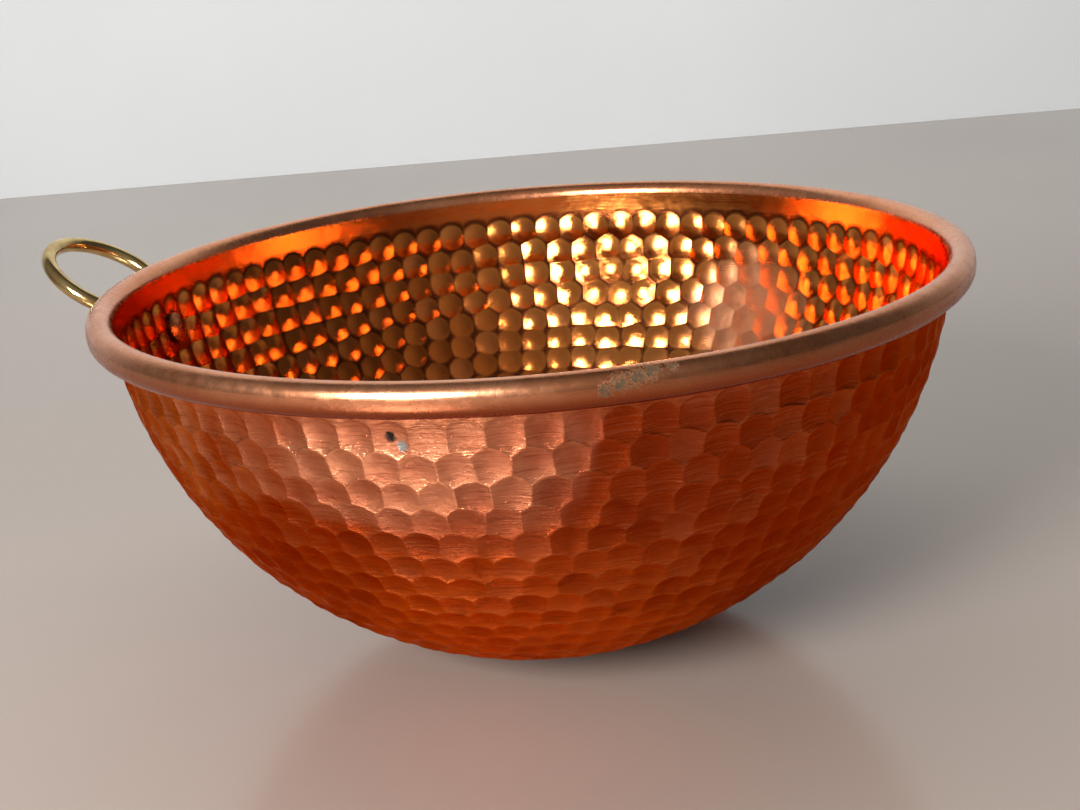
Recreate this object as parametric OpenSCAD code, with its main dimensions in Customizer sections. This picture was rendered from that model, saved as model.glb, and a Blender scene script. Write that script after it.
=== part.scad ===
// Hammered copper beating bowl with a rolled, wired rim and one cast brass ring handle.
// The bowl's axis is Z. The small flat that it rests on lies at z = 0, and the handle points to -X.

/* [Bowl] */
// Diameter over the rolled rim
overall_d = 260; // [250:2:272]
// Height from the resting flat to the top of the rim
overall_h = 118; // [112:1:122]
// Thickness of the copper sheet
sheet_t = 1.2; // [0.8:0.1:1.4]
// Diameter of the small flat hammered under the bowl
foot_flat_d = 26; // [16:1:40]

/* [Rolled rim] */
// Width of the rolled rim, measured across the roll
roll_w = 7.4; // [6.8:0.1:8]
// Height of the rolled rim
roll_h = 9; // [8.4:0.1:10]
// Clearance round the wire inside the roll
wire_gap = 0.05; // [0.02:0.01:0.1]
// Gap left where the edge of the sheet comes back to the wall
lip_gap = 0.4; // [0.3:0.1:0.8]

/* [Ring handle] */
// Inside diameter of the brass ring
ring_bore = 34.4; // [30:0.2:38]
// Thickness of the ring's rod
rod_d = 4.7; // [4:0.1:5]
// Angle at which the ring rises outwards
ring_rise = 33.5; // [28:0.5:36]
// Depth of the rod's middle below the middle of the rolled rim, where the ring meets the palm
ring_drop = 10; // [9.6:0.1:10.6]
// How far the rod's middle stands off the wall at that point
ring_standoff = 2.6; // [2.5:0.1:3.2]

/* [Palm of the handle] */
// Width of the palm, which lies against the wall
palm_w = 16; // [14:0.5:18]
// Thickness of the palm
palm_t = 2.6; // [2.2:0.1:3]
// Thickness of the root that joins the ring to the palm
root_d = 8; // [7:0.5:9]

/* [Rivet] */
// Depth of the rivet below the middle of the rolled rim
rivet_drop = 16; // [15.5:0.5:18]
// Diameter of the rivet's shank
shank_d = 4.6; // [4:0.1:5]
// Clearance between the shank and its holes
shank_gap = 0.05; // [0.02:0.01:0.08]
// Diameter of the rivet's heads
head_d = 9.4; // [8.6:0.2:10.6]
// Thickness of the rivet's heads
head_t = 2; // [1.8:0.1:2.4]

/* [Hidden] */
$fn = 96;
hairline = 0.02;

// Rolled rim: the roll's section is a circle drawn out downwards
roll_r = roll_w / 2;
roll_z = overall_h - roll_h / 2;
roll_centre_r = overall_d / 2 - roll_r;
bend_z = roll_h / 2 - roll_r;
wire_r = roll_r - sheet_t - wire_gap;

// Bowl: part of a sphere that passes through the rim and the edge of the resting flat
rim_wall_r = overall_d / 2 - roll_w + sheet_t;
flat_r = foot_flat_d / 2;
sphere_rise = (pow(rim_wall_r, 2) - pow(flat_r, 2) - pow(roll_z, 2)) / (2 * roll_z);
sphere_z = roll_z + sphere_rise;
sphere_r = norm([rim_wall_r, sphere_rise]);

// Ring handle
rod_r = rod_d / 2;
ring_r = ring_bore / 2 + rod_r;
ring_root_z = roll_z - ring_drop;
ring_root_r = sqrt(pow(sphere_r, 2) - pow(sphere_z - ring_root_z, 2)) + ring_standoff;

// Rivet: its axis runs through the middle of the sphere, square to the wall
rivet_tilt = asin((sphere_rise + rivet_drop) / sphere_r);
head_r = head_d / 2;
shank_r = shank_d / 2;
rim_of_head_t = head_t / 2;
dome_h = head_t - rim_of_head_t;
dome_r = (pow(head_r, 2) + pow(dome_h, 2)) / (2 * dome_h);
// A flat face on a curved wall touches only at its middle or at its edge
head_sag = sphere_r - sqrt(pow(sphere_r, 2) - pow(head_r, 2));

// Half of the bowl's own section, solid, out to the given radius
module bowl_half_section(r, floor_z) {
    intersection() {
        translate([0, sphere_z]) circle(r = r, $fn = 240);
        translate([0, floor_z]) square([sphere_r, roll_z - floor_z]);
    }
}

// Section of the roll, or of the space inside it
module roll_section(r) {
    translate([roll_centre_r, roll_z]) {
        translate([0, bend_z]) circle(r = r);
        translate([0, -bend_z]) circle(r = r);
        translate([-r, -bend_z]) square([2 * r, 2 * bend_z]);
    }
}

// The rolled sheet, open where its edge comes back to the wall
module roll_sheet_section() {
    difference() {
        roll_section(roll_r);
        roll_section(roll_r - sheet_t);
        translate([0, roll_z - roll_h]) square([rim_wall_r + lip_gap, roll_h]);
    }
    intersection() {
        difference() {
            roll_section(roll_r);
            roll_section(roll_r - sheet_t);
        }
        translate([0, roll_z]) square([overall_d, roll_h]);
    }
}

// Places a piece on the rivet's axis: Z runs outwards along the axis and X up along the wall
module on_rivet_axis() {
    translate([0, 0, sphere_z]) rotate([0, -90 - rivet_tilt, 0]) children();
}

// A riveted head, with its flat side at z = 0 and its dome upwards
module rivet_head() {
    cylinder(r = head_r, h = rim_of_head_t);
    intersection() {
        translate([0, 0, head_t - dome_r]) sphere(r = dome_r);
        cylinder(r = head_r, h = head_t);
    }
}

module bowl_shell() color("#b5613c") {
    difference() {
        rotate_extrude($fn = 360) {
            difference() {
                bowl_half_section(sphere_r, 0);
                bowl_half_section(sphere_r - sheet_t, sheet_t);
            }
            roll_sheet_section();
        }
        on_rivet_axis()
            translate([0, 0, sphere_r - 2 * sheet_t]) cylinder(r = shank_r + shank_gap, h = 4 * sheet_t);
    }
}

module rim_wire() color("#8d9093") {
    rotate_extrude($fn = 360) translate([roll_centre_r, roll_z + bend_z]) circle(r = wire_r);
}

module ring_handle() color("#d9b65c") {
    difference() {
        union() {
            translate([-ring_root_r, 0, ring_root_z]) rotate([0, ring_rise, 0]) {
                translate([-ring_r, 0, 0]) rotate_extrude($fn = 180) translate([ring_r, 0]) circle(r = rod_r);
                rotate([0, 90, 0]) cylinder(r = root_d / 2, h = 2 * ring_standoff);
            }
            on_rivet_axis() intersection() {
                sphere(r = sphere_r + palm_t, $fn = 240);
                union() {
                    cylinder(r = palm_w / 2, h = sphere_r + 2 * palm_t);
                    translate([0, -palm_w / 2, 0]) cube([rivet_drop - ring_drop, palm_w, sphere_r + 2 * palm_t]);
                }
            }
        }
        translate([0, 0, sphere_z]) sphere(r = sphere_r + hairline, $fn = 240);
        on_rivet_axis()
            translate([0, 0, sphere_r - palm_t]) cylinder(r = shank_r + shank_gap, h = 3 * palm_t);
    }
}

module handle_rivet() color("#a4552f") {
    on_rivet_axis() {
        translate([0, 0, sphere_r - sheet_t - head_sag - hairline]) {
            rotate([180, 0, 0]) rivet_head();
            cylinder(r = shank_r, h = sheet_t + palm_t + head_sag + rim_of_head_t);
        }
        translate([0, 0, sphere_r + palm_t + hairline]) rivet_head();
    }
}

bowl_shell();
rim_wire();
ring_handle();
handle_rivet();
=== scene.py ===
"""Visual model of the hammered copper beating bowl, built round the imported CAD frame.

Lengths are in metres and the frame is the CAD model's: Z is the bowl's axis, and the ring
handle points to -X.
"""
import math
import random

import bmesh
import bpy
import numpy as np
from mathutils import Matrix, Vector
from mathutils.geometry import delaunay_2d_cdt


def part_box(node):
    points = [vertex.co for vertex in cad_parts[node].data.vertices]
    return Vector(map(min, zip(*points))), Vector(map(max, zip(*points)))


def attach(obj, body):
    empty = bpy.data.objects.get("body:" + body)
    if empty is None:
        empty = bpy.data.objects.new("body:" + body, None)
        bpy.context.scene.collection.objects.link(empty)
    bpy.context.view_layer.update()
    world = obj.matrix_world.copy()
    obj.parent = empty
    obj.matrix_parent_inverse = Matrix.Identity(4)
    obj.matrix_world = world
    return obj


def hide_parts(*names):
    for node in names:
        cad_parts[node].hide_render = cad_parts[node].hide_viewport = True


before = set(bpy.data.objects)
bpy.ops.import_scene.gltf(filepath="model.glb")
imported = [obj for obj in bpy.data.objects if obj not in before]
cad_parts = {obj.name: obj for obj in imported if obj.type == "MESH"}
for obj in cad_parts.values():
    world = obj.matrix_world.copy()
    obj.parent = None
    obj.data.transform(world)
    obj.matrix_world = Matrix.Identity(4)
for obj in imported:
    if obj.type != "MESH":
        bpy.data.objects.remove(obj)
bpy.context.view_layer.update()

MM = 0.001

# ---------------------------------------------------------------- sizes, from the frame and the design
SHELL_LOW, SHELL_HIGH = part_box("bowl_shell")
# The visual rim stays this far inside the CAD model's box
SIDE_MARGIN = 0.01 * MM
TOP_MARGIN = 0.005 * MM
OVERALL_R = min(SHELL_HIGH.x, SHELL_HIGH.y, -SHELL_LOW.x, -SHELL_LOW.y) - SIDE_MARGIN
OVERALL_H = SHELL_HIGH.z - TOP_MARGIN
# The copper sheet, the rolled rim's section, the resting flat, and the gap at the sheet's edge
SHEET = 1.2 * MM
ROLL_R = 3.7 * MM
ROLL_HALF_H = 4.5 * MM
FLAT_R = 13 * MM
LIP_GAP = 0.4 * MM

# The rolled rim, and the sphere that the wall is part of
ROLL_Z = OVERALL_H - ROLL_HALF_H
ROLL_CENTRE_R = OVERALL_R - ROLL_R
BEND = ROLL_HALF_H - ROLL_R
RIM_WALL_R = OVERALL_R - 2 * ROLL_R + SHEET
SPHERE_RISE = (RIM_WALL_R**2 - FLAT_R**2 - ROLL_Z**2) / (2 * ROLL_Z)
SPHERE_Z = ROLL_Z + SPHERE_RISE
SPHERE_R = math.hypot(RIM_WALL_R, SPHERE_RISE)
RIM_ANGLE = math.atan2(RIM_WALL_R, SPHERE_RISE)

# Hammer marks, in rows from the rim down to one mark in the middle of the bottom.
# FIRST_ROW is along the wall from the middle of the roll to the middle of the first marks.
FIRST_ROW = 11.3 * MM
ROWS_BELOW_FIRST = 21
MARK_PITCH = 9.2 * MM
MARK_DEPTH = 0.95 * MM
DEPTH_SHARES = (0.84, 1.12)
# How far marks stray from their places, and how much of that the first row does
MARK_JITTER = 0.42 * MM
FIRST_ROW_JITTER = 0.35
# One mark of each even row starts near this azimuth, and rows shift by up to this share of a mark
STAGGER_FROM = math.radians(-90.7)
ROW_SHIFT = 0.14
# Radius of a whole mark outside and inside, and of the first row's top edge
MARK_R = 5.8 * MM
PEBBLE_R = 5.15 * MM
ARCH_R = 5.5 * MM
# Rows of stand-in marks in the smooth band lie this far above the first, in mark radii
STAND_IN_RISE = 1.3
# Ridges between rows arch upwards by this much, or by this share of their length if that is less
ARCH_RISE = 0.55 * MM
ARCH_SHARE = 0.09
# Where the first row's marks hardly overlap, its edge still rises this far above the gap
LEAST_RISE = 1 * MM
# Any direction that no mark lies in, to count turns round a mark from
OFF_AXIS = (0.3, 0.5, 0.81)
# Mesh density: steps along a ridge, and where the loops of points lie between middle and edge
OUTER_RIDGE_STEP = 2.7 * MM
INNER_RIDGE_STEP = 3.3 * MM
TOP_STEPS = 3
OUTER_LOOPS = (0.5, 0.8, 0.94)
INNER_LOOPS = (0.5, 0.9)
# Marks fade out round the rivet: none within the first radius, whole beyond the second
QUIET_ROUND_RIVET = (5.2 * MM, 9.5 * MM)

# Section of the sheet above the marks: depths of its points below the middle of the roll,
# and steps of the roll's two arcs outside and inside
WALL_DEPTHS_INSIDE = (4.0 * MM, 2.0 * MM)
WALL_DEPTHS_OUTSIDE = (1.0 * MM, 3.0 * MM, 4.6 * MM)
TOP_ARC_STEPS, BOTTOM_ARC_STEPS = 12, 8
TOP_ARC_STEPS_INSIDE, BOTTOM_ARC_STEPS_INSIDE = 6, 4

# What the smooth and the worn parts get for the marks' two attributes
SMOOTH_HOLLOW = 0.3
WORN_HOLLOW = 0.5
EVEN_TONE = 0.5

# Where the ring handle's rivet goes through the wall
RIVET_DROP = 16 * MM
RIVET_TILT = math.asin((SPHERE_RISE + RIVET_DROP) / SPHERE_R)
RIVET_FACING = np.array((-math.cos(RIVET_TILT), 0, -math.sin(RIVET_TILT)))

# A worn place inside on the right: its azimuth and height, the radii between which the marks
# regain their depth, and the share of it left in the middle
WORN_AZIMUTH, WORN_Z = math.radians(63.0), 73.5 * MM
WORN_R = math.sqrt(SPHERE_R**2 - (SPHERE_Z - WORN_Z) ** 2)
WORN_PLACE = (WORN_R * math.cos(WORN_AZIMUTH), WORN_R * math.sin(WORN_AZIMUTH), WORN_Z)
WORN_FACING = (np.array(WORN_PLACE) - (0, 0, SPHERE_Z)) / SPHERE_R
WORN_RADII = (11 * MM, 27 * MM)
WORN_SHARE = 0.3


# ---------------------------------------------------------------- small helpers
def new_object(name, verts, faces, materials):
    """A smooth-shaded mesh object from lists of points and faces."""
    mesh = bpy.data.meshes.new(name)
    mesh.from_pydata([tuple(v) for v in verts], [], faces)
    mesh.validate()
    for material in materials:
        mesh.materials.append(material)
    mesh.polygons.foreach_set("use_smooth", [True] * len(mesh.polygons))
    mesh.update()
    ob = bpy.data.objects.new(name, mesh)
    bpy.context.scene.collection.objects.link(ob)
    return ob


def on_sphere(angle, azimuth):
    """Unit vector at an angle up from the bottom of the bowl and an azimuth round its axis."""
    s = math.sin(angle)
    return np.array((s * math.cos(azimuth), s * math.sin(azimuth), -math.cos(angle)))


def unit(v):
    return v / np.linalg.norm(v)


def base_radius(direction, inset):
    """Distance from the sphere's middle to the smooth wall, or to the resting flat below it."""
    down = -direction[2]
    if down <= 0:
        return SPHERE_R - inset
    return min(SPHERE_R - inset, (SPHERE_Z - inset) / down)


def distance_fade(direction, middle, radii):
    """0 within the first radius of a place on the wall, 1 beyond the second."""
    away = np.linalg.norm(direction - middle) * SPHERE_R
    low, high = radii
    return min(1.0, max(0.0, (away - low) / (high - low)))


# ---------------------------------------------------------------- hammer marks
class Mark:
    """One blow: its middle on the unit sphere, depth, row from the rim down, and shade of colour."""

    def __init__(self, middle, depth, row, tone=EVEN_TONE):
        self.middle, self.depth, self.row, self.tone = middle, depth, row, tone


def make_marks():
    """The hammer marks in rows, and stand-in marks in the smooth band above them (row -1)."""
    rng = random.Random(11)
    first = RIM_ANGLE - FIRST_ROW / SPHERE_R
    step = first / ROWS_BELOW_FIRST
    marks = []
    for row in range(ROWS_BELOW_FIRST + 1):
        angle = first - row * step
        count = max(1, round(2 * math.pi * SPHERE_R * math.sin(angle) / MARK_PITCH))
        shift = rng.uniform(-ROW_SHIFT, ROW_SHIFT) if row else 0.0
        phase = STAGGER_FROM * count / (2 * math.pi) + 0.5 * row + shift
        spread = MARK_JITTER / SPHERE_R * (FIRST_ROW_JITTER if row == 0 else 1.0)
        for i in range(count):
            down = rng.gauss(0, spread)
            side = rng.gauss(0, spread) / max(math.sin(angle), 0.05)
            middle = on_sphere(angle + down, 2 * math.pi * (i + phase) / count + side)
            marks.append(Mark(middle, MARK_DEPTH * rng.uniform(*DEPTH_SHARES), row, rng.random()))
        if row == 0:
            above = first + STAND_IN_RISE * MARK_R / SPHERE_R
            for i in range(count):
                azimuth = 2 * math.pi * (i + 0.5 + phase) / count
                marks.append(Mark(on_sphere(above, azimuth), 0.0, -1))
    return marks


def delaunay_triangles(points):
    """Triangles between the marks' middles, found in a flat map of the sphere that keeps circles."""
    flat = [Vector((p[0] / (1 - p[2]), p[1] / (1 - p[2]))) for p in points]
    _, _, faces, origins, _, _ = delaunay_2d_cdt(flat, [], [], 0, 1e-9, True)
    return [tuple(origins[v][0] for v in face) for face in faces]


class HammeredFace:
    """One face of the hammered sheet: a cell for each mark, with the ridges between cells shared."""

    def __init__(self, marks, triangles, mark_r, arch_rise, ridge_step, fractions):
        self.marks, self.triangles = marks, triangles
        self.mark_r, self.arch_rise = mark_r, arch_rise
        self.ridge_step, self.fractions = ridge_step, fractions
        self.directions, self.depths, self.hollows, self.tones = [], [], [], []
        self.faces = []
        self.corners, self.ridges, self.top_link = {}, {}, {}
        self.make_corners()
        self.make_cells()
        self.top_edge = self.follow_top_edge()

    def add(self, direction, depth, tone=EVEN_TONE):
        """A new point of the face, with the mark's depth less round the rivet and where it is worn."""
        depth *= distance_fade(direction, RIVET_FACING, QUIET_ROUND_RIVET)
        kept = WORN_SHARE + (1 - WORN_SHARE) * distance_fade(direction, WORN_FACING, WORN_RADII)
        self.directions.append(direction)
        self.depths.append(depth * kept)
        self.hollows.append(kept * depth / MARK_DEPTH + (1 - kept) * WORN_HOLLOW)
        self.tones.append(tone)
        return len(self.directions) - 1

    def depth_in(self, mark, direction):
        """How deep a mark is in the direction of a point: a shallow dish."""
        away = np.linalg.norm(direction - mark.middle) * SPHERE_R
        return mark.depth * max(0.0, 1 - (away / self.mark_r) ** 2)

    def round_edge(self, mark, direction):
        """The point on the top edge of a first-row mark in the direction of another point."""
        along = unit(direction - mark.middle * float(direction @ mark.middle))
        turn = ARCH_R / SPHERE_R
        return mark.middle * math.cos(turn) + along * math.sin(turn)

    def make_corners(self):
        """The points where three marks meet."""
        for t, tri in enumerate(self.triangles):
            real = [self.marks[i] for i in tri if self.marks[i].row >= 0]
            if not real:
                continue
            a, b, c = (self.marks[i].middle for i in tri)
            corner = unit(np.cross(b - a, c - a))
            corner = corner if corner @ a > 0 else -corner
            if len(real) == 1:
                corner = self.round_edge(real[0], corner)
            elif len(real) == 2:
                between = unit(real[0].middle + real[1].middle)
                up = unit(corner - between * float(corner @ between))
                half = np.linalg.norm(real[0].middle - real[1].middle) * SPHERE_R / 2
                turn = math.sqrt(max(ARCH_R**2 - half**2, LEAST_RISE**2)) / SPHERE_R
                corner = between * math.cos(turn) + up * math.sin(turn)
            depth = sum(self.depth_in(m, corner) for m in real) / 3 if len(real) == 3 else 0.0
            self.corners[t] = self.add(corner, depth)

    def ridge(self, t1, t2, mark, other):
        """Points along the ridge between two marks, from triangle t1's corner to t2's.

        Each row was hammered over the one above it, so the lower mark's edge is the rounder one.
        """
        key = (min(t1, t2), max(t1, t2))
        if key not in self.ridges:
            a, b = (self.directions[self.corners[t]] for t in key)
            at_band = other.row < 0
            length = np.linalg.norm(a - b) * SPHERE_R
            steps = TOP_STEPS if at_band else max(1, round(length / self.ridge_step))
            low = mark if mark.row > other.row else other
            line = [self.corners[key[0]]]
            for k in range(1, steps):
                share = k / steps
                p = unit(a * (1 - share) + b * share)
                if at_band:
                    line.append(self.add(self.round_edge(mark, p), 0.0))
                    continue
                if mark.row != other.row:
                    away = unit(p - low.middle * float(p @ low.middle))
                    rise = min(self.arch_rise, ARCH_SHARE * length) / SPHERE_R
                    p = unit(p + away * rise * 4 * share * (1 - share))
                depth = (self.depth_in(mark, p) + self.depth_in(other, p)) / 2
                line.append(self.add(p, depth))
            line.append(self.corners[key[1]])
            self.ridges[key] = line
        line = self.ridges[key]
        return line if t1 < t2 else line[::-1]

    def make_cells(self):
        """One cell round each mark, its corners taken in order of their turn round the middle."""
        around = {i: [] for i, m in enumerate(self.marks) if m.row >= 0}
        for t, tri in enumerate(self.triangles):
            for i in tri:
                if i in around:
                    around[i].append(t)
        for i, ts in around.items():
            mark = self.marks[i]
            side = unit(np.cross(mark.middle, OFF_AXIS))
            up = np.cross(mark.middle, side)

            def turn(t):
                p = sum(self.marks[j].middle for j in self.triangles[t])
                return math.atan2(p @ up, p @ side)

            ts.sort(key=turn)
            loop = []
            for t1, t2 in zip(ts, ts[1:] + ts[:1]):
                other = (set(self.triangles[t1]) & set(self.triangles[t2]) - {i}).pop()
                line = self.ridge(t1, t2, mark, self.marks[other])
                if self.marks[other].row < 0:
                    self.top_link.update(zip(line, line[1:]))
                loop += line[:-1]
            self.fill_cell(mark, loop)

    def fill_cell(self, mark, loop):
        """Faces of one mark, from its middle out to the ridges round it."""
        rings = []
        for fraction in self.fractions:
            ring = []
            for v in loop:
                p = unit(mark.middle * (1 - fraction) + self.directions[v] * fraction)
                ring.append(self.add(p, self.depth_in(mark, p), mark.tone))
            rings.append(ring)
        rings.append(loop)
        centre = self.add(mark.middle, mark.depth, mark.tone)
        for i in range(len(loop)):
            j = (i + 1) % len(loop)
            self.faces.append((centre, rings[0][i], rings[0][j]))
            for low, high in zip(rings, rings[1:]):
                self.faces.append((low[i], high[i], high[j], low[j]))

    def follow_top_edge(self):
        """The scalloped upper edge of the first row, in order from the side away from the handle."""
        edge = [max(self.top_link, key=lambda v: self.directions[v][0] - abs(self.directions[v][1]))]
        while self.top_link[edge[-1]] != edge[0]:
            edge.append(self.top_link[edge[-1]])
        return edge

    def points(self, inset):
        """The face's points in the model's frame, this far inside the bowl's outer sphere."""
        out = []
        for direction, depth in zip(self.directions, self.depths):
            p = direction * (base_radius(direction, inset) - depth)
            out.append((p[0], p[1], p[2] + SPHERE_Z))
        return out


# ---------------------------------------------------------------- rolled rim
def arc(cx, cz, radius, start, end, steps):
    """Points of an arc in the section plane, angles in degrees from the outward direction."""
    out = []
    for k in range(steps + 1):
        a = math.radians(start + (end - start) * k / steps)
        out.append((cx + radius * math.cos(a), cz + radius * math.sin(a)))
    return out


def sheet_section():
    """The sheet's section above the marks: up the inside, over the roll to its edge, and back."""
    top, bottom = ROLL_Z + BEND, ROLL_Z - BEND
    inner_r = ROLL_R - SHEET

    def wall(r, below):
        return math.sqrt(r**2 - (SPHERE_RISE + below) ** 2), ROLL_Z - below

    lip_x = RIM_WALL_R + LIP_GAP - ROLL_CENTRE_R
    end_out = -90 + math.degrees(math.asin(lip_x / ROLL_R))
    end_in = -90 + math.degrees(math.asin(lip_x / inner_r))
    path = [wall(SPHERE_R - SHEET, below) for below in WALL_DEPTHS_INSIDE]
    path += arc(ROLL_CENTRE_R, top, ROLL_R, 180, 0, TOP_ARC_STEPS)
    path += arc(ROLL_CENTRE_R, bottom, ROLL_R, 0, end_out, BOTTOM_ARC_STEPS)
    path += arc(ROLL_CENTRE_R, bottom, inner_r, end_in, 0, BOTTOM_ARC_STEPS_INSIDE)
    path += arc(ROLL_CENTRE_R, top, inner_r, 0, 180, TOP_ARC_STEPS_INSIDE)
    path += [wall(SPHERE_R, below) for below in WALL_DEPTHS_OUTSIDE]
    return path


def build_shell(outer_copper, inner_copper, rolled_copper):
    """The hammered sheet: outer face, inner face, and the strip over the rolled rim between them."""
    marks = make_marks()
    triangles = delaunay_triangles([m.middle for m in marks])
    out = HammeredFace(marks, triangles, MARK_R, ARCH_RISE, OUTER_RIDGE_STEP, OUTER_LOOPS)
    inn = HammeredFace(marks, triangles, PEBBLE_R, 0.0, INNER_RIDGE_STEP, INNER_LOOPS)
    n = len(out.directions)
    verts = out.points(0.0) + inn.points(SHEET)
    faces = out.faces + [tuple(n + v for v in reversed(face)) for face in inn.faces]
    outer, inner, rolled = range(3)
    kinds = [outer] * len(out.faces) + [inner] * len(inn.faces)
    hollow = out.hollows + inn.hollows
    tone = out.tones + inn.tones

    # Rings of the strip, from the inner face's top edge to the outer face's
    turns = [math.atan2(out.directions[v][1], out.directions[v][0]) for v in out.top_edge]
    rings = [[n + v for v in inn.top_edge]]
    for x, z in sheet_section():
        ring = range(len(verts), len(verts) + len(turns))
        verts += [(x * math.cos(a), x * math.sin(a), z) for a in turns]
        rings.append(list(ring))
    rings.append(out.top_edge)
    hollow += [SMOOTH_HOLLOW] * (len(verts) - len(hollow))
    tone += [EVEN_TONE] * (len(verts) - len(tone))
    roll_start = len(WALL_DEPTHS_INSIDE) + 1
    roll_end = roll_start + TOP_ARC_STEPS + 1 + BOTTOM_ARC_STEPS + 1
    for k, (low, high) in enumerate(zip(rings, rings[1:])):
        kind = inner if k < roll_start else rolled if k < roll_end else outer
        for i in range(len(turns)):
            j = (i + 1) % len(turns)
            faces.append((low[i], low[j], high[j], high[i]))
            kinds.append(kind)
    ob = new_object("copper_bowl", verts, faces, [outer_copper, inner_copper, rolled_copper])
    ob.data.polygons.foreach_set("material_index", kinds)
    for name, values in (("hollow", hollow), ("tone", tone)):
        ob.data.attributes.new(name, "FLOAT", "POINT").data.foreach_set("value", values)
    make_normals_outward(ob)

    # The valleys between the domed marks inside are creases
    valleys = set()
    for line in inn.ridges.values():
        valleys.update(frozenset((n + a, n + b)) for a, b in zip(line, line[1:]))
    for edge in ob.data.edges:
        edge.use_edge_sharp = frozenset(edge.vertices) in valleys
    return ob


def make_normals_outward(ob):
    bm = bmesh.new()
    bm.from_mesh(ob.data)
    bmesh.ops.recalc_face_normals(bm, faces=bm.faces)
    bm.to_mesh(ob.data)
    bm.free()
    ob.data.update()


# ---------------------------------------------------------------- materials
# Direction in which the copper is painted paler, a painted reflection of the window side, scaled so
# that it adds a little over one at the front of the rim
PAINTED_SHEEN_TOWARDS = (-1.4, -5.9, 4.0)
# Small dark specks in the hammered copper
SPECK = (0.10, 0.03, 0.01)
# Green stain on the roll: azimuth in degrees, depth below the top of the rim, distance from the
# axis, and radius
VERDIGRIS = (
    (-67.2, 4.0 * MM, 130.0 * MM, 3.4 * MM),
    (-65.6, 2.8 * MM, 129.9 * MM, 4.4 * MM),
    (-64.0, 1.8 * MM, 129.5 * MM, 5.0 * MM),
    (-62.4, 1.2 * MM, 129.0 * MM, 4.4 * MM),
    (-60.0, 0.8 * MM, 128.4 * MM, 2.6 * MM),
)


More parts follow.
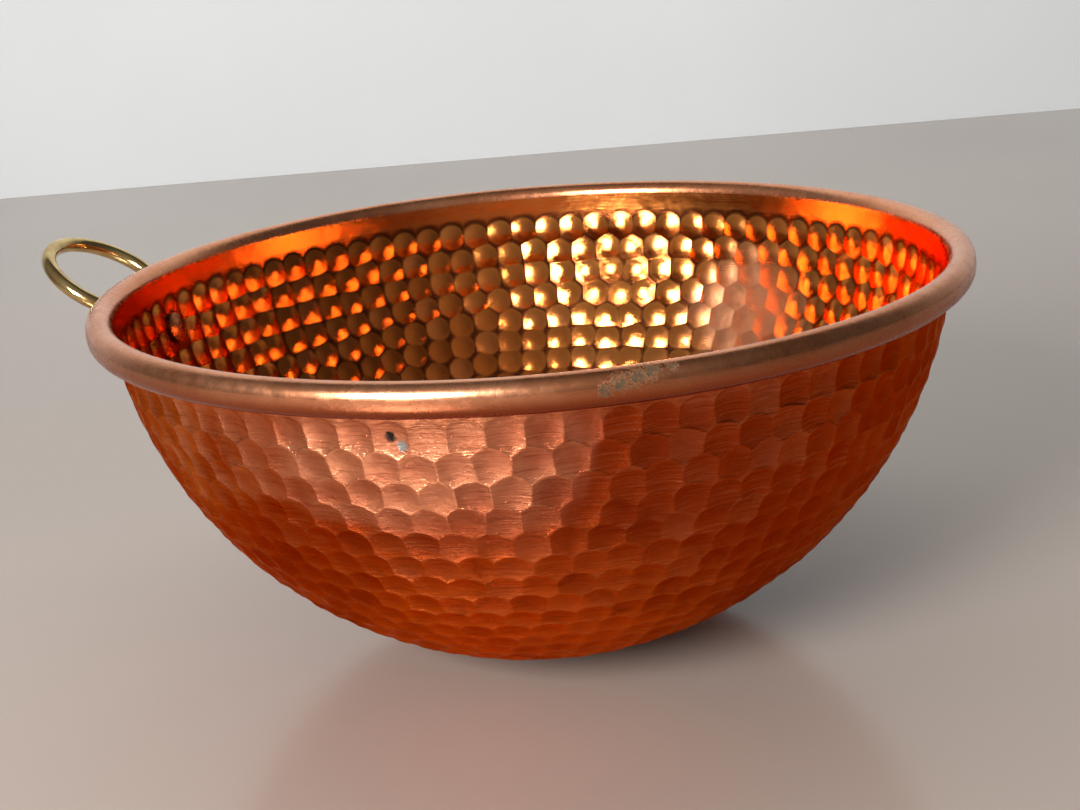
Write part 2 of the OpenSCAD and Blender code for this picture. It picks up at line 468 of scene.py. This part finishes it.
class Paint:
    """Builds a Principled material's node tree out of small steps."""

    def __init__(self, name, metallic=1.0):
        self.material = bpy.data.materials.new(name)
        self.material.use_nodes = True
        self.tree = self.material.node_tree
        self.shader = self.tree.nodes["Principled BSDF"]
        self.shader.inputs["Metallic"].default_value = metallic
        self.place = self.node("ShaderNodeTexCoord").outputs["Object"]

    def node(self, kind, **settings):
        n = self.tree.nodes.new(kind)
        for key, value in settings.items():
            setattr(n, key, value)
        return n

    def put(self, socket, value):
        if isinstance(value, bpy.types.NodeSocket):
            self.tree.links.new(value, socket)
        elif isinstance(value, tuple) and len(value) == 3 and socket.type == "RGBA":
            socket.default_value = (*value, 1)
        else:
            socket.default_value = value

    def math(self, operation, a, b):
        n = self.node("ShaderNodeMath", operation=operation)
        self.put(n.inputs[0], a)
        self.put(n.inputs[1], b)
        return n.outputs[0]

    def vector(self, operation, a, b=(0, 0, 0)):
        n = self.node("ShaderNodeVectorMath", operation=operation)
        self.put(n.inputs[0], a)
        self.put(n.inputs[1], b)
        gives_number = operation in ("LENGTH", "DISTANCE", "DOT_PRODUCT")
        return n.outputs["Value" if gives_number else "Vector"]

    def noise(self, place, scale, detail=3.0, rough=0.55, distortion=0.0):
        n = self.node("ShaderNodeTexNoise")
        self.put(n.inputs["Vector"], place)
        n.inputs["Scale"].default_value = scale
        n.inputs["Detail"].default_value = detail
        n.inputs["Roughness"].default_value = rough
        n.inputs["Distortion"].default_value = distortion
        return n.outputs["Fac"]

    def attribute(self, name):
        """A value that the mesh carries at its points."""
        n = self.node("ShaderNodeAttribute", attribute_name=name, attribute_type="GEOMETRY")
        return n.outputs["Fac"]

    def between(self, value, low, high, to_low=0.0, to_high=1.0):
        """Maps low..high smoothly to to_low..to_high, and holds the ends."""
        n = self.node("ShaderNodeMapRange", interpolation_type="SMOOTHSTEP")
        self.put(n.inputs["Value"], value)
        for key, v in (("From Min", low), ("From Max", high), ("To Min", to_low), ("To Max", to_high)):
            n.inputs[key].default_value = v
        return n.outputs[0]

    def mix(self, share, a, b):
        """Colour a, with this share of colour b over it."""
        n = self.node("ShaderNodeMix", data_type="RGBA", clamp_factor=True)
        self.put(n.inputs["Factor"], share)
        for socket in n.inputs:
            if socket.type == "RGBA":
                self.put(socket, a if socket.name == "A" else b)
        return [o for o in n.outputs if o.type == "RGBA"][0]

    def along_the_wall(self, across, along):
        """Coordinates for streaks left by turning: long round the axis and short down the section."""
        parts = self.node("ShaderNodeSeparateXYZ")
        self.put(parts.inputs[0], self.place)
        x, y, z = parts.outputs
        flat = self.node("ShaderNodeCombineXYZ")
        self.put(flat.inputs[0], x)
        self.put(flat.inputs[1], y)
        from_axis = self.vector("LENGTH", flat.outputs[0])
        down = self.math("ADD", z, self.math("MULTIPLY", from_axis, 0.8))
        out = self.node("ShaderNodeCombineXYZ")
        self.put(out.inputs[0], self.math("MULTIPLY", x, along))
        self.put(out.inputs[1], self.math("MULTIPLY", y, along))
        self.put(out.inputs[2], self.math("MULTIPLY", down, across))
        return out.outputs[0]

    def spot(self, point, radius):
        """1 at a point of the surface, falling to 0 with a ragged edge at the given radius."""
        ragged, grain = 0.4, 900
        away = self.math("DIVIDE", self.vector("DISTANCE", self.place, point), radius)
        edge = self.math("MULTIPLY", self.noise(self.place, grain, 3), ragged * 2)
        return self.between(self.math("ADD", away, edge), 0.55 + ragged, 1.0 + ragged, 1.0, 0.0)

    def finish(self, colour, roughness, height=None, strength=0.0, metallic=None):
        """Joins colour, roughness and bump to the shader. The bump's strength is in metres."""
        self.put(self.shader.inputs["Base Color"], colour)
        self.put(self.shader.inputs["Roughness"], roughness)
        if metallic is not None:
            self.put(self.shader.inputs["Metallic"], metallic)
        if height is not None:
            bump = self.node("ShaderNodeBump")
            bump.inputs["Strength"].default_value = 1.0
            bump.inputs["Distance"].default_value = strength
            self.put(bump.inputs["Height"], height)
            self.put(self.shader.inputs["Normal"], bump.outputs[0])
        return self.material


def on_wall(azimuth, height, radius):
    """A point of the wall or the roll: azimuth in degrees, height, and distance from the axis."""
    turn = math.radians(azimuth)
    return radius * math.cos(turn), radius * math.sin(turn), height


def hammered_copper(name, colours, painted_crease_shading, rough, streaks, painted_reflections_and_wear, spots=()):
    """Polished copper with turning streaks and a random warm patina, and a painted reflection of the
    window side that makes it paler towards the front and deeper away from it.

    colours: pale, deep and dark. painted_crease_shading: a painted highlight along the ridges outside
    and painted shade in the valleys inside, as colour, how far up the mark it goes, share, and added
    roughness. painted_reflections_and_wear: painted orange reflections low on the front outside and
    on the inside left, and a worn place inside on the right, each as a point, the radii between which
    it fades, colour, and added roughness. spots: a point, radius and colour.
    """
    p = Paint(name)
    pale, deep, dark = colours
    p.shader.inputs["Specular Tint"].default_value = (*(min(1.0, 1.3 * c) for c in pale), 1)
    hollow, tone = p.attribute("hollow"), p.attribute("tone")
    streak = p.noise(p.along_the_wall(2300, 85), 1.0, 5, 0.65)
    fine = p.noise(p.along_the_wall(4200, 150), 1.0, 3, 0.6)
    patina = p.noise(p.place, 17, 4, 0.6, 0.4)
    front = p.vector("DOT_PRODUCT", p.place, PAINTED_SHEEN_TOWARDS)
    cloud = p.noise(p.place, 75, 4, 0.65, 0.8)
    speck = p.noise(p.place, 900, 2, 0.5)

    # Paler towards the front: a random patina and a painted reflection of the window side
    colour = p.mix(p.between(p.math("ADD", patina, front), 1.42, 1.76), deep, pale)
    dull = 0.0
    # Painted orange reflections and a worn place, each fading out between two radii
    for point, near, far, reflection_and_wear_colour, added_rough in painted_reflections_and_wear:
        away = p.vector("DISTANCE", p.place, point)
        away = p.math("ADD", away, p.math("MULTIPLY", cloud, 0.03))
        colour = p.mix(p.between(away, near, far, 0.9, 0.0), colour, reflection_and_wear_colour)
        dull = p.math("ADD", dull, p.between(away, near, far, added_rough, 0.0))
    colour = p.mix(p.between(cloud, 0.5, 0.78, 0.0, 0.55), colour, dark)
    colour = p.mix(p.between(streak, 0.5, 0.68, 0.0, 0.6 * streaks), colour, dark)
    colour = p.mix(p.between(streak, 0.32, 0.47, 0.26 * streaks, 0.0), colour, pale)
    colour = p.mix(p.between(hollow, 0.4, 1.0, 0.0, 0.2), colour, dark)
    colour = p.mix(p.between(tone, 0.55, 1.0, 0.0, 0.35), colour, dark)
    colour = p.mix(p.between(tone, 0.0, 0.4, 0.12, 0.0), colour, pale)
    # Painted highlight along the ridges outside and painted shade in the valleys inside
    painted_crease_colour, valley_top, painted_crease_share, valley_rough = painted_crease_shading
    colour = p.mix(p.between(hollow, 0.0, valley_top, painted_crease_share, 0.0), colour, painted_crease_colour)
    colour = p.mix(p.between(speck, 0.72, 0.8, 0.0, 0.5), colour, SPECK)
    for point, radius, spot_colour in spots:
        colour = p.mix(p.spot(point, radius), colour, spot_colour)

    roughness = p.between(cloud, 0.3, 0.8, rough, rough + 0.12)
    roughness = p.math("ADD", roughness, p.math("MULTIPLY", streak, 0.08))
    in_valley = p.between(hollow, 0.0, 0.5 * valley_top, valley_rough, 0.0)
    roughness = p.math("ADD", roughness, in_valley)
    roughness = p.math("ADD", roughness, dull)
    uneven = p.math("MULTIPLY", p.noise(p.place, 130, 2), 1.2)
    height = p.math("MULTIPLY", streak, streaks)
    height = p.math("ADD", height, p.math("MULTIPLY", fine, 0.3 * streaks))
    return p.finish(colour, roughness, p.math("ADD", height, uneven), 0.14 * MM)


def rolled_copper(name):
    """The rolled rim: painted shade makes it darker underneath, with a green stain in front."""
    p = Paint(name)
    streak = p.noise(p.along_the_wall(900, 60), 1.0, 4, 0.65)
    patina = p.noise(p.place, 30, 4, 0.6, 0.5)
    cloud = p.noise(p.place, 240, 4, 0.65, 0.6)
    speck = p.noise(p.place, 1100, 3, 0.7)
    level = p.vector("DOT_PRODUCT", p.place, (0.0, 0.0, 1.0))

    colour = p.mix(p.between(patina, 0.35, 0.65), (0.68, 0.255, 0.115), (0.78, 0.34, 0.18))
    colour = p.mix(p.between(cloud, 0.55, 0.8, 0.0, 0.25), colour, (0.42, 0.14, 0.06))
    colour = p.mix(p.between(streak, 0.5, 0.75, 0.0, 0.4), colour, (0.46, 0.15, 0.065))
    # Painted shade: the roll is darker underneath
    painted_shade_under = p.between(level, ROLL_Z - 3.2 * MM, ROLL_Z + 2.6 * MM, 0.92, 0.0)
    colour = p.mix(painted_shade_under, colour, (0.32, 0.055, 0.013))
    colour = p.mix(p.between(speck, 0.74, 0.84, 0.0, 0.6), colour, (0.12, 0.05, 0.03))

    # The stain: flecks, thickest at its points and none beyond their radii
    near = None
    for azimuth, depth, distance, radius in VERDIGRIS:
        away = p.vector("DISTANCE", p.place, on_wall(azimuth, OVERALL_H - depth, distance))
        one = p.between(away, 0.0, radius, 1.0, 0.0)
        near = one if near is None else p.math("MAXIMUM", near, one)
    stain = p.between(p.math("ADD", near, p.math("MULTIPLY", speck, 3.2)), 2.05, 2.4)
    stain = p.math("MULTIPLY", stain, p.between(near, 0.0, 0.3))
    grain = p.between(p.noise(p.place, 2200, 2), 0.4, 0.6)
    green = p.mix(grain, (0.012, 0.011, 0.005), (0.05, 0.048, 0.022))
    colour = p.mix(p.math("MULTIPLY", stain, 0.92), colour, green)

    roughness = p.between(cloud, 0.3, 0.8, 0.18, 0.3)
    roughness = p.math("ADD", roughness, p.math("MULTIPLY", streak, 0.08))
    roughness = p.math("ADD", roughness, p.math("MULTIPLY", stain, 0.5))
    height = p.math("ADD", p.math("MULTIPLY", streak, 0.9), p.noise(p.place, 300, 3, 0.6))
    metallic = p.math("SUBTRACT", 1.0, p.math("MULTIPLY", stain, 0.7))
    return p.finish(colour, roughness, height, 0.05 * MM, metallic)


def cast_brass(name):
    """The ring handle: polished yellow brass with small darker specks."""
    p = Paint(name)
    cloud = p.noise(p.place, 160, 3, 0.6)
    speck = p.noise(p.place, 700, 3, 0.6)
    colour = p.mix(p.between(cloud, 0.35, 0.7), (0.68, 0.50, 0.22), (0.50, 0.33, 0.13))
    colour = p.mix(p.between(speck, 0.62, 0.8, 0.0, 0.6), colour, (0.22, 0.13, 0.05))
    roughness = p.between(cloud, 0.3, 0.8, 0.09, 0.22)
    return p.finish(colour, roughness, p.noise(p.place, 260, 3), 0.06 * MM)


def drawn_steel(name):
    """The wire inside the roll."""
    p = Paint(name)
    cloud = p.noise(p.place, 200, 3, 0.6)
    colour = p.mix(p.between(cloud, 0.35, 0.7), (0.42, 0.42, 0.43), (0.25, 0.22, 0.20))
    return p.finish(colour, p.between(cloud, 0.3, 0.8, 0.35, 0.6), cloud, 0.05 * MM)


def rivet_copper(name):
    """The rivet: copper that has darkened."""
    p = Paint(name)
    cloud = p.noise(p.place, 300, 4, 0.6)
    colour = p.mix(p.between(cloud, 0.35, 0.7), (0.55, 0.17, 0.06), (0.28, 0.09, 0.04))
    return p.finish(colour, p.between(cloud, 0.3, 0.8, 0.2, 0.42), p.noise(p.place, 700, 3), 0.1 * MM)


outer = hammered_copper(
    "outer_copper",
    colours=((0.80, 0.32, 0.17), (0.44, 0.055, 0.008), (0.24, 0.026, 0.005)),
    # Painted highlight along the ridges between the marks
    painted_crease_shading=((0.74, 0.25, 0.10), 0.3, 0.2, 0.0),
    rough=0.12,
    streaks=1.0,
    # Painted reflection of the lit table: an orange glow low on the front
    painted_reflections_and_wear=((on_wall(-80, 24 * MM, 80 * MM), 40 * MM, 92 * MM, (0.86, 0.165, 0.026), 0.0),),
    spots=(
        (on_wall(-90.8, 102.8 * MM, 122.4 * MM), 2.1 * MM, (0.02, 0.02, 0.02)),
        (on_wall(-89.6, 100.6 * MM, 122.1 * MM), 2.0 * MM, (0.38, 0.40, 0.40)),
    ),
)
inner = hammered_copper(
    "inner_copper",
    colours=((0.88, 0.38, 0.18), (0.78, 0.27, 0.062), (0.46, 0.11, 0.022)),
    # Painted shade in the valleys between the domed marks
    painted_crease_shading=((0.14, 0.03, 0.01), 0.28, 0.95, 0.06),
    rough=0.075,
    streaks=0.22,
    painted_reflections_and_wear=(
        # Painted reflection: a deep orange glow on the inside left; then a duller worn place on the
        # inside right
        (on_wall(150, 45 * MM, 95 * MM), 66 * MM, 122 * MM, (0.72, 0.175, 0.028), 0.0),
        (WORN_PLACE, 26 * MM, 48 * MM, (0.74, 0.32, 0.17), 0.17),
    ),
)
bowl = build_shell(outer, inner, rolled_copper("rolled_copper"))
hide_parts("bowl_shell")
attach(bowl, "root")

for node, material in (
    ("ring_handle", cast_brass("cast_brass")),
    ("rim_wire", drawn_steel("drawn_steel")),
    ("handle_rivet", rivet_copper("rivet_copper")),
):
    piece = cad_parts[node]
    piece.data.materials.clear()
    piece.data.materials.append(material)


# ---------------------------------------------------------------- stage, lights and camera
# The stage, lights and camera are laid out facing +Y, and turned to the photograph's view
VIEW_TURN = math.radians(16.2)
VIEW = Matrix.Rotation(VIEW_TURN, 4, "Z")
TABLE_HALF = 6.0
TABLE_COLOUR = (0.36, 0.30, 0.26)
WALL_Y = 1.0
WALL_TOP = 1.6
WALL_COLOUR = (0.78, 0.81, 0.82)
# The window's light, and the light from above that washes the wall: place, target, size and watts
WINDOW_AT, WINDOW_TO = Vector((-0.56, -0.90, 0.52)), Vector((0, 0, 0.08))
WINDOW_SIZE, WINDOW_POWER = (0.38, 0.40), 22
WASH_AT, WASH_TO = Vector((0, 0.1, 1.3)), Vector((0, WALL_Y, 0.3))
WASH_SIZE, WASH_POWER = (1.6, 0.4), 9
# Brightness of the room away from the window, towards it, and where the camera sees it
ROOM_DIM, ROOM_LIT, ROOM_SEEN = 0.08, 0.32, 0.62
# The camera stands this far from the middle of the rolled rim
CAMERA_DISTANCE = 0.4888
CAMERA_ELEVATION = math.radians(12.57)
CAMERA_PITCH = math.radians(-4.69)
CAMERA_ROLL = math.radians(-4.79)
CAMERA_LENS, CAMERA_SENSOR = 54, 36


def stage_paint(name, colour, rough):
    """A plain surface with a slight unevenness."""
    p = Paint(name, 0.0)
    grain = p.noise(p.place, 3, 3)
    tint = p.mix(p.between(grain, 0.3, 0.7), colour, tuple(0.96 * c for c in colour))
    return p.finish(tint, p.between(grain, 0.3, 0.7, rough, rough + 0.06))


def make_stage():
    """A pale table and a paler wall behind it, square to the photograph's view."""
    h, y, top = TABLE_HALF, WALL_Y, WALL_TOP
    table = [(-h, -h, 0), (h, -h, 0), (h, y, 0), (-h, y, 0)]
    wall = [(-h, y, 0), (h, y, 0), (h, y, top), (-h, y, top)]
    for name, corners, colour, rough in (
        ("table", table, TABLE_COLOUR, 0.15),
        ("wall", wall, WALL_COLOUR, 0.6),
    ):
        corners = [VIEW @ Vector(c) for c in corners]
        paint = stage_paint(name, colour, rough)
        new_object(name, corners, [(0, 1, 2, 3)], [paint])


def area_light(name, place, target, size, power, colour):
    data = bpy.data.lights.new(name, "AREA")
    data.shape = "RECTANGLE"
    data.size, data.size_y = size
    data.energy = power
    data.color = colour
    ob = bpy.data.objects.new(name, data)
    place, target = VIEW @ place, VIEW @ target
    ob.location = place
    ob.rotation_euler = (place - target).to_track_quat("Z", "Y").to_euler()
    bpy.context.scene.collection.objects.link(ob)
    return ob


def make_lights():
    """A dim room that is lighter on the side of one soft window, and a wash on the wall."""
    world = bpy.data.worlds.new("studio")
    world.use_nodes = True
    nodes, links = world.node_tree.nodes, world.node_tree.links
    dot = nodes.new("ShaderNodeVectorMath")
    dot.operation = "DOT_PRODUCT"
    dot.inputs[1].default_value = (VIEW @ WINDOW_AT).normalized()
    links.new(nodes.new("ShaderNodeTexCoord").outputs["Generated"], dot.inputs[0])
    glow = nodes.new("ShaderNodeMapRange")
    glow.interpolation_type = "SMOOTHSTEP"
    glow.inputs["To Min"].default_value = ROOM_DIM
    glow.inputs["To Max"].default_value = ROOM_LIT
    links.new(dot.outputs["Value"], glow.inputs["Value"])
    seen = nodes.new("ShaderNodeMix")
    camera_ray = nodes.new("ShaderNodeLightPath").outputs["Is Camera Ray"]
    links.new(camera_ray, seen.inputs["Factor"])
    links.new(glow.outputs[0], seen.inputs["A"])
    seen.inputs["B"].default_value = ROOM_SEEN
    links.new(seen.outputs[0], nodes["Background"].inputs["Strength"])
    nodes["Background"].inputs["Color"].default_value = (1.0, 0.96, 0.92, 1)
    bpy.context.scene.world = world

    warm, cool = (1.0, 0.98, 0.96), (0.96, 0.99, 1.0)
    area_light("window", WINDOW_AT, WINDOW_TO, WINDOW_SIZE, WINDOW_POWER, warm)
    wash = area_light("wall_wash", WASH_AT, WASH_TO, WASH_SIZE, WASH_POWER, cool)
    wash.visible_glossy = False
    bpy.context.scene.view_settings.view_transform = "Standard"


def make_camera():
    """The photograph's view: aimed at the rim's middle, then pitched down and rolled."""
    elevation, pitch, roll = CAMERA_ELEVATION, CAMERA_PITCH, CAMERA_ROLL
    back, rise = CAMERA_DISTANCE * math.cos(elevation), CAMERA_DISTANCE * math.sin(elevation)
    place = Vector((0, -back, rise))
    forward = -place.normalized()
    right = Vector((1, 0, 0))
    up = right.cross(forward)
    aim = forward * math.cos(pitch) + up * math.sin(pitch)
    up = up * math.cos(pitch) - forward * math.sin(pitch)
    side = right * math.cos(roll) + up * math.sin(roll)
    up = up * math.cos(roll) - right * math.sin(roll)
    rotation = Matrix((side, up, -aim)).transposed().to_4x4()
    data = bpy.data.cameras.new("photo_view")
    data.sensor_width = CAMERA_SENSOR
    data.lens = CAMERA_LENS
    ob = bpy.data.objects.new("photo_view", data)
    ob.matrix_world = VIEW @ Matrix.Translation(place + Vector((0, 0, ROLL_Z))) @ rotation
    bpy.context.scene.collection.objects.link(ob)
    bpy.context.scene.camera = ob


make_stage()
make_lights()
make_camera()
